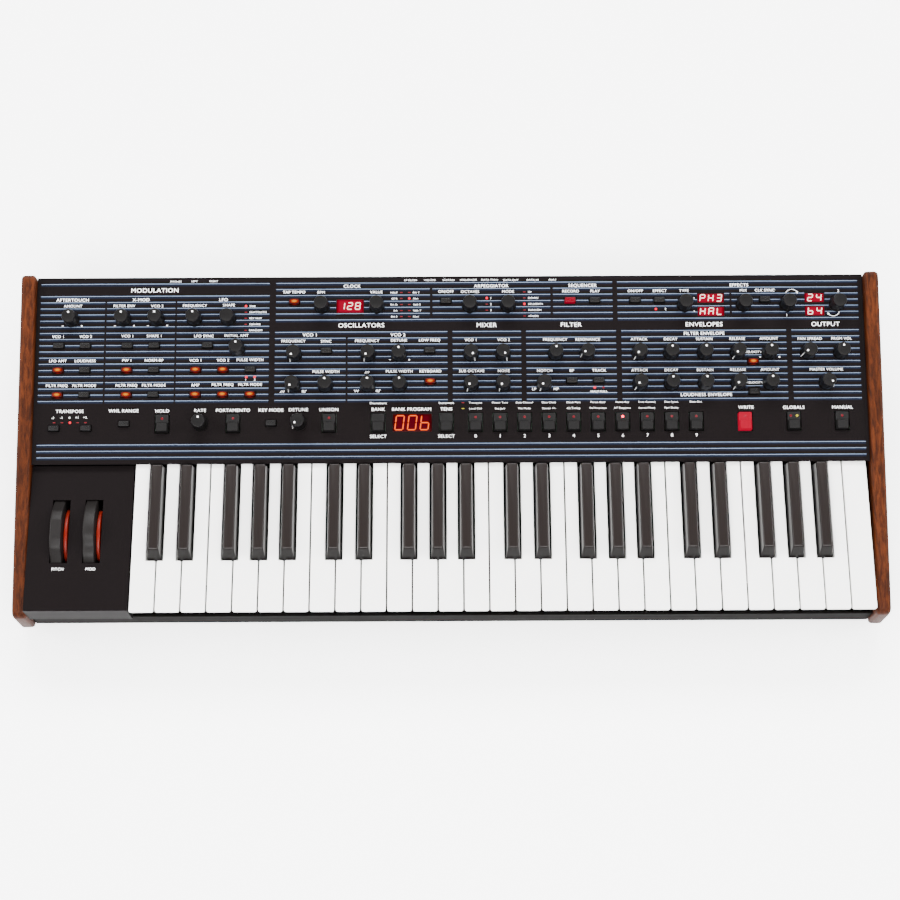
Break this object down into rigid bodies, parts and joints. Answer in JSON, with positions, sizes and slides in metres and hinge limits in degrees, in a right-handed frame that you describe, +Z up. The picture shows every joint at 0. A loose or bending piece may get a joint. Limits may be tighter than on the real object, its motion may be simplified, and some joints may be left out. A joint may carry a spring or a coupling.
{
  "type": "synthesizer",
  "caption": "Desktop keyboard synthesizer with wooden end cheeks, a sloping control panel of knobs, buttons and red displays, two performance wheels and full-size keys",
  "frame": {"origin": "on the surface the feet stand on, under the middle of the instrument", "axes": "+X along the keyboard towards the high keys, +Y from the player to the back, +Z up"},
  "size_m": [0.808, 0.323, 0.115],
  "materials": {
    "walnut": "oiled satin",
    "black_steel": "fine matte powder coat",
    "controls": "moulded satin",
    "keybed_metal": "brushed",
    "wheel_plastic": "moulded satin",
    "knob_plastic": "moulded satin",
    "lit_red_cap": "translucent, lit from inside",
    "white_key": "semi-gloss moulded",
    "black_key": "semi-gloss moulded"
  },
  "bodies": {
    "root": {"chassis_pan": "black_steel", "control_panel": "black_steel", "control_board": "controls", "left_wood_end": "walnut", "right_wood_end": "walnut", "wheel_panel": "black_steel", "keybed_frame": "keybed_metal"},
    "pitch_wheel": {"pitch_wheel": "wheel_plastic"},
    "mod_wheel": {"mod_wheel": "wheel_plastic"},
    "master_volume_knob": {"master_volume_knob": "knob_plastic"},
    "write_button": {"write_button": "lit_red_cap"},
    "key_C2": {"key_C2": "white_key"},
    "key_C2_sharp": {"key_C2_sharp": "black_key"},
    "key_D2": {"key_D2": "white_key"},
    "key_D2_sharp": {"key_D2_sharp": "black_key"},
    "key_E2": {"key_E2": "white_key"},
    "key_F2": {"key_F2": "white_key"},
    "key_F2_sharp": {"key_F2_sharp": "black_key"},
    "key_G2": {"key_G2": "white_key"},
    "key_G2_sharp": {"key_G2_sharp": "black_key"},
    "key_A2": {"key_A2": "white_key"},
    "key_A2_sharp": {"key_A2_sharp": "black_key"},
    "key_B2": {"key_B2": "white_key"},
    "key_C3": {"key_C3": "white_key"},
    "key_C3_sharp": {"key_C3_sharp": "black_key"},
    "key_D3": {"key_D3": "white_key"},
    "key_D3_sharp": {"key_D3_sharp": "black_key"},
    "key_E3": {"key_E3": "white_key"},
    "key_F3": {"key_F3": "white_key"},
    "key_F3_sharp": {"key_F3_sharp": "black_key"},
    "key_G3": {"key_G3": "white_key"},
    "key_G3_sharp": {"key_G3_sharp": "black_key"},
    "key_A3": {"key_A3": "white_key"},
    "key_A3_sharp": {"key_A3_sharp": "black_key"},
    "key_B3": {"key_B3": "white_key"},
    "key_C4": {"key_C4": "white_key"},
    "key_C4_sharp": {"key_C4_sharp": "black_key"},
    "key_D4": {"key_D4": "white_key"},
    "key_D4_sharp": {"key_D4_sharp": "black_key"},
    "key_E4": {"key_E4": "white_key"},
    "key_F4": {"key_F4": "white_key"},
    "key_F4_sharp": {"key_F4_sharp": "black_key"},
    "key_G4": {"key_G4": "white_key"},
    "key_G4_sharp": {"key_G4_sharp": "black_key"},
    "key_A4": {"key_A4": "white_key"},
    "key_A4_sharp": {"key_A4_sharp": "black_key"},
    "key_B4": {"key_B4": "white_key"},
    "key_C5": {"key_C5": "white_key"},
    "key_C5_sharp": {"key_C5_sharp": "black_key"},
    "key_D5": {"key_D5": "white_key"},
    "key_D5_sharp": {"key_D5_sharp": "black_key"},
    "key_E5": {"key_E5": "white_key"},
    "key_F5": {"key_F5": "white_key"},
    "key_F5_sharp": {"key_F5_sharp": "black_key"},
    "key_G5": {"key_G5": "white_key"},
    "key_G5_sharp": {"key_G5_sharp": "black_key"},
    "key_A5": {"key_A5": "white_key"},
    "key_A5_sharp": {"key_A5_sharp": "black_key"},
    "key_B5": {"key_B5": "white_key"},
    "key_C6": {"key_C6": "white_key"}
  },
  "joints": [
    {"name": "bend_wheel_turn", "type": "hinge", "parent": "root", "child": "pitch_wheel", "pos_m": [-0.3608, -0.0842, 0.038], "axis": [-1, 0, 0], "range_deg": [-35, 35], "stiffness_Nm_per_rad": 0.2},
    {"name": "mod_wheel_turn", "type": "hinge", "parent": "root", "child": "mod_wheel", "pos_m": [-0.3306, -0.0842, 0.038], "axis": [-1, 0, 0], "range_deg": [0, 70]},
    {"name": "knob_master_volume_turn", "type": "hinge", "parent": "root", "child": "master_volume_knob", "pos_m": [0.3521, 0.05199, 0.08525], "axis": [0, -0.1544, 0.988], "range_deg": [-30, 270]},
    {"name": "button_write_press", "type": "slide", "parent": "root", "child": "write_button", "axis": [0, 0.1544, -0.988], "range_m": [0, 0.0012], "stiffness_N_per_m": 200, "springref_m": -0.002},
    {"name": "note_C2_press", "type": "hinge", "parent": "root", "child": "key_C2", "pos_m": [-0.2867, 0.0385, 0.055], "axis": [1, 0, 0], "range_deg": [0, 2.9], "stiffness_Nm_per_rad": 1, "springref_deg": -9.17},
    {"name": "note_C2_sharp_press", "type": "hinge", "parent": "root", "child": "key_C2_sharp", "pos_m": [-0.2722, 0.0385, 0.055], "axis": [1, 0, 0], "range_deg": [0, 2.9], "stiffness_Nm_per_rad": 1, "springref_deg": -9.17},
    {"name": "note_D2_press", "type": "hinge", "parent": "root", "child": "key_D2", "pos_m": [-0.2584, 0.0385, 0.055], "axis": [1, 0, 0], "range_deg": [0, 2.9], "stiffness_Nm_per_rad": 1, "springref_deg": -9.17},
    {"name": "note_D2_sharp_press", "type": "hinge", "parent": "root", "child": "key_D2_sharp", "pos_m": [-0.2446, 0.0385, 0.055], "axis": [1, 0, 0], "range_deg": [0, 2.9], "stiffness_Nm_per_rad": 1, "springref_deg": -9.17},
    {"name": "note_E2_press", "type": "hinge", "parent": "root", "child": "key_E2", "pos_m": [-0.23045, 0.0385, 0.055], "axis": [1, 0, 0], "range_deg": [0, 2.9], "stiffness_Nm_per_rad": 1, "springref_deg": -9.17},
    {"name": "note_F2_press", "type": "hinge", "parent": "root", "child": "key_F2", "pos_m": [-0.217, 0.0385, 0.055], "axis": [1, 0, 0], "range_deg": [0, 2.9], "stiffness_Nm_per_rad": 1, "springref_deg": -9.17},
    {"name": "note_F2_sharp_press", "type": "hinge", "parent": "root", "child": "key_F2_sharp", "pos_m": [-0.2033, 0.0385, 0.055], "axis": [1, 0, 0], "range_deg": [0, 2.9], "stiffness_Nm_per_rad": 1, "springref_deg": -9.17},
    {"name": "note_G2_press", "type": "hinge", "parent": "root", "child": "key_G2", "pos_m": [-0.1899, 0.0385, 0.055], "axis": [1, 0, 0], "range_deg": [0, 2.9], "stiffness_Nm_per_rad": 1, "springref_deg": -9.17},
    {"name": "note_G2_sharp_press", "type": "hinge", "parent": "root", "child": "key_G2_sharp", "pos_m": [-0.1765, 0.0385, 0.055], "axis": [1, 0, 0], "range_deg": [0, 2.9], "stiffness_Nm_per_rad": 1, "springref_deg": -9.17},
    {"name": "note_A2_press", "type": "hinge", "parent": "root", "child": "key_A2", "pos_m": [-0.1634, 0.0385, 0.055], "axis": [1, 0, 0], "range_deg": [0, 2.9], "stiffness_Nm_per_rad": 1, "springref_deg": -9.17},
    {"name": "note_A2_sharp_press", "type": "hinge", "parent": "root", "child": "key_A2_sharp", "pos_m": [-0.1503, 0.0385, 0.055], "axis": [1, 0, 0], "range_deg": [0, 2.9], "stiffness_Nm_per_rad": 1, "springref_deg": -9.17},
    {"name": "note_B2_press", "type": "hinge", "parent": "root", "child": "key_B2", "pos_m": [-0.1363, 0.0385, 0.055], "axis": [1, 0, 0], "range_deg": [0, 2.9], "stiffness_Nm_per_rad": 1, "springref_deg": -9.17},
    {"name": "note_C3_press", "type": "hinge", "parent": "root", "child": "key_C3", "pos_m": [-0.1222, 0.0385, 0.055], "axis": [1, 0, 0], "range_deg": [0, 2.9], "stiffness_Nm_per_rad": 1, "springref_deg": -9.17},
    {"name": "note_C3_sharp_press", "type": "hinge", "parent": "root", "child": "key_C3_sharp", "pos_m": [-0.1077, 0.0385, 0.055], "axis": [1, 0, 0], "range_deg": [0, 2.9], "stiffness_Nm_per_rad": 1, "springref_deg": -9.17},
    {"name": "note_D3_press", "type": "hinge", "parent": "root", "child": "key_D3", "pos_m": [-0.0939, 0.0385, 0.055], "axis": [1, 0, 0], "range_deg": [0, 2.9], "stiffness_Nm_per_rad": 1, "springref_deg": -9.17},
    {"name": "note_D3_sharp_press", "type": "hinge", "parent": "root", "child": "key_D3_sharp", "pos_m": [-0.0801, 0.0385, 0.055], "axis": [1, 0, 0], "range_deg": [0, 2.9], "stiffness_Nm_per_rad": 1, "springref_deg": -9.17},
    {"name": "note_E3_press", "type": "hinge", "parent": "root", "child": "key_E3", "pos_m": [-0.06595, 0.0385, 0.055], "axis": [1, 0, 0], "range_deg": [0, 2.9], "stiffness_Nm_per_rad": 1, "springref_deg": -9.17},
    {"name": "note_F3_press", "type": "hinge", "parent": "root", "child": "key_F3", "pos_m": [-0.0525, 0.0385, 0.055], "axis": [1, 0, 0], "range_deg": [0, 2.9], "stiffness_Nm_per_rad": 1, "springref_deg": -9.17},
    {"name": "note_F3_sharp_press", "type": "hinge", "parent": "root", "child": "key_F3_sharp", "pos_m": [-0.0388, 0.0385, 0.055], "axis": [1, 0, 0], "range_deg": [0, 2.9], "stiffness_Nm_per_rad": 1, "springref_deg": -9.17},
    {"name": "note_G3_press", "type": "hinge", "parent": "root", "child": "key_G3", "pos_m": [-0.0254, 0.0385, 0.055], "axis": [1, 0, 0], "range_deg": [0, 2.9], "stiffness_Nm_per_rad": 1, "springref_deg": -9.17},
    {"name": "note_G3_sharp_press", "type": "hinge", "parent": "root", "child": "key_G3_sharp", "pos_m": [-0.012, 0.0385, 0.055], "axis": [1, 0, 0], "range_deg": [0, 2.9], "stiffness_Nm_per_rad": 1, "springref_deg": -9.17},
    {"name": "note_A3_press", "type": "hinge", "parent": "root", "child": "key_A3", "pos_m": [0.0011, 0.0385, 0.055], "axis": [1, 0, 0], "range_deg": [0, 2.9], "stiffness_Nm_per_rad": 1, "springref_deg": -9.17},
    {"name": "note_A3_sharp_press", "type": "hinge", "parent": "root", "child": "key_A3_sharp", "pos_m": [0.0142, 0.0385, 0.055], "axis": [1, 0, 0], "range_deg": [0, 2.9], "stiffness_Nm_per_rad": 1, "springref_deg": -9.17},
    {"name": "note_B3_press", "type": "hinge", "parent": "root", "child": "key_B3", "pos_m": [0.0282, 0.0385, 0.055], "axis": [1, 0, 0], "range_deg": [0, 2.9], "stiffness_Nm_per_rad": 1, "springref_deg": -9.17},
    {"name": "note_C4_press", "type": "hinge", "parent": "root", "child": "key_C4", "pos_m": [0.0423, 0.0385, 0.055], "axis": [1, 0, 0], "range_deg": [0, 2.9], "stiffness_Nm_per_rad": 1, "springref_deg": -9.17},
    {"name": "note_C4_sharp_press", "type": "hinge", "parent": "root", "child": "key_C4_sharp", "pos_m": [0.0568, 0.0385, 0.055], "axis": [1, 0, 0], "range_deg": [0, 2.9], "stiffness_Nm_per_rad": 1, "springref_deg": -9.17},
    {"name": "note_D4_press", "type": "hinge", "parent": "root", "child": "key_D4", "pos_m": [0.0706, 0.0385, 0.055], "axis": [1, 0, 0], "range_deg": [0, 2.9], "stiffness_Nm_per_rad": 1, "springref_deg": -9.17},
    {"name": "note_D4_sharp_press", "type": "hinge", "parent": "root", "child": "key_D4_sharp", "pos_m": [0.0844, 0.0385, 0.055], "axis": [1, 0, 0], "range_deg": [0, 2.9], "stiffness_Nm_per_rad": 1, "springref_deg": -9.17},
    {"name": "note_E4_press", "type": "hinge", "parent": "root", "child": "key_E4", "pos_m": [0.09855, 0.0385, 0.055], "axis": [1, 0, 0], "range_deg": [0, 2.9], "stiffness_Nm_per_rad": 1, "springref_deg": -9.17},
    {"name": "note_F4_press", "type": "hinge", "parent": "root", "child": "key_F4", "pos_m": [0.112, 0.0385, 0.055], "axis": [1, 0, 0], "range_deg": [0, 2.9], "stiffness_Nm_per_rad": 1, "springref_deg": -9.17},
    {"name": "note_F4_sharp_press", "type": "hinge", "parent": "root", "child": "key_F4_sharp", "pos_m": [0.1257, 0.0385, 0.055], "axis": [1, 0, 0], "range_deg": [0, 2.9], "stiffness_Nm_per_rad": 1, "springref_deg": -9.17},
    {"name": "note_G4_press", "type": "hinge", "parent": "root", "child": "key_G4", "pos_m": [0.1391, 0.0385, 0.055], "axis": [1, 0, 0], "range_deg": [0, 2.9], "stiffness_Nm_per_rad": 1, "springref_deg": -9.17},
    {"name": "note_G4_sharp_press", "type": "hinge", "parent": "root", "child": "key_G4_sharp", "pos_m": [0.1525, 0.0385, 0.055], "axis": [1, 0, 0], "range_deg": [0, 2.9], "stiffness_Nm_per_rad": 1, "springref_deg": -9.17},
    {"name": "note_A4_press", "type": "hinge", "parent": "root", "child": "key_A4", "pos_m": [0.1656, 0.0385, 0.055], "axis": [1, 0, 0], "range_deg": [0, 2.9], "stiffness_Nm_per_rad": 1, "springref_deg": -9.17},
    {"name": "note_A4_sharp_press", "type": "hinge", "parent": "root", "child": "key_A4_sharp", "pos_m": [0.1787, 0.0385, 0.055], "axis": [1, 0, 0], "range_deg": [0, 2.9], "stiffness_Nm_per_rad": 1, "springref_deg": -9.17},
    {"name": "note_B4_press", "type": "hinge", "parent": "root", "child": "key_B4", "pos_m": [0.1927, 0.0385, 0.055], "axis": [1, 0, 0], "range_deg": [0, 2.9], "stiffness_Nm_per_rad": 1, "springref_deg": -9.17},
    {"name": "note_C5_press", "type": "hinge", "parent": "root", "child": "key_C5", "pos_m": [0.2068, 0.0385, 0.055], "axis": [1, 0, 0], "range_deg": [0, 2.9], "stiffness_Nm_per_rad": 1, "springref_deg": -9.17},
    {"name": "note_C5_sharp_press", "type": "hinge", "parent": "root", "child": "key_C5_sharp", "pos_m": [0.2213, 0.0385, 0.055], "axis": [1, 0, 0], "range_deg": [0, 2.9], "stiffness_Nm_per_rad": 1, "springref_deg": -9.17},
    {"name": "note_D5_press", "type": "hinge", "parent": "root", "child": "key_D5", "pos_m": [0.2351, 0.0385, 0.055], "axis": [1, 0, 0], "range_deg": [0, 2.9], "stiffness_Nm_per_rad": 1, "springref_deg": -9.17},
    {"name": "note_D5_sharp_press", "type": "hinge", "parent": "root", "child": "key_D5_sharp", "pos_m": [0.2489, 0.0385, 0.055], "axis": [1, 0, 0], "range_deg": [0, 2.9], "stiffness_Nm_per_rad": 1, "springref_deg": -9.17},
    {"name": "note_E5_press", "type": "hinge", "parent": "root", "child": "key_E5", "pos_m": [0.26305, 0.0385, 0.055], "axis": [1, 0, 0], "range_deg": [0, 2.9], "stiffness_Nm_per_rad": 1, "springref_deg": -9.17},
    {"name": "note_F5_press", "type": "hinge", "parent": "root", "child": "key_F5", "pos_m": [0.2765, 0.0385, 0.055], "axis": [1, 0, 0], "range_deg": [0, 2.9], "stiffness_Nm_per_rad": 1, "springref_deg": -9.17},
    {"name": "note_F5_sharp_press", "type": "hinge", "parent": "root", "child": "key_F5_sharp", "pos_m": [0.2902, 0.0385, 0.055], "axis": [1, 0, 0], "range_deg": [0, 2.9], "stiffness_Nm_per_rad": 1, "springref_deg": -9.17},
    {"name": "note_G5_press", "type": "hinge", "parent": "root", "child": "key_G5", "pos_m": [0.3036, 0.0385, 0.055], "axis": [1, 0, 0], "range_deg": [0, 2.9], "stiffness_Nm_per_rad": 1, "springref_deg": -9.17},
    {"name": "note_G5_sharp_press", "type": "hinge", "parent": "root", "child": "key_G5_sharp", "pos_m": [0.317, 0.0385, 0.055], "axis": [1, 0, 0], "range_deg": [0, 2.9], "stiffness_Nm_per_rad": 1, "springref_deg": -9.17},
    {"name": "note_A5_press", "type": "hinge", "parent": "root", "child": "key_A5", "pos_m": [0.3301, 0.0385, 0.055], "axis": [1, 0, 0], "range_deg": [0, 2.9], "stiffness_Nm_per_rad": 1, "springref_deg": -9.17},
    {"name": "note_A5_sharp_press", "type": "hinge", "parent": "root", "child": "key_A5_sharp", "pos_m": [0.3432, 0.0385, 0.055], "axis": [1, 0, 0], "range_deg": [0, 2.9], "stiffness_Nm_per_rad": 1, "springref_deg": -9.17},
    {"name": "note_B5_press", "type": "hinge", "parent": "root", "child": "key_B5", "pos_m": [0.3572, 0.0385, 0.055], "axis": [1, 0, 0], "range_deg": [0, 2.9], "stiffness_Nm_per_rad": 1, "springref_deg": -9.17},
    {"name": "note_C6_press", "type": "hinge", "parent": "root", "child": "key_C6", "pos_m": [0.37575, 0.0385, 0.055], "axis": [1, 0, 0], "range_deg": [0, 2.9], "stiffness_Nm_per_rad": 1, "springref_deg": -9.17}
  ]
}
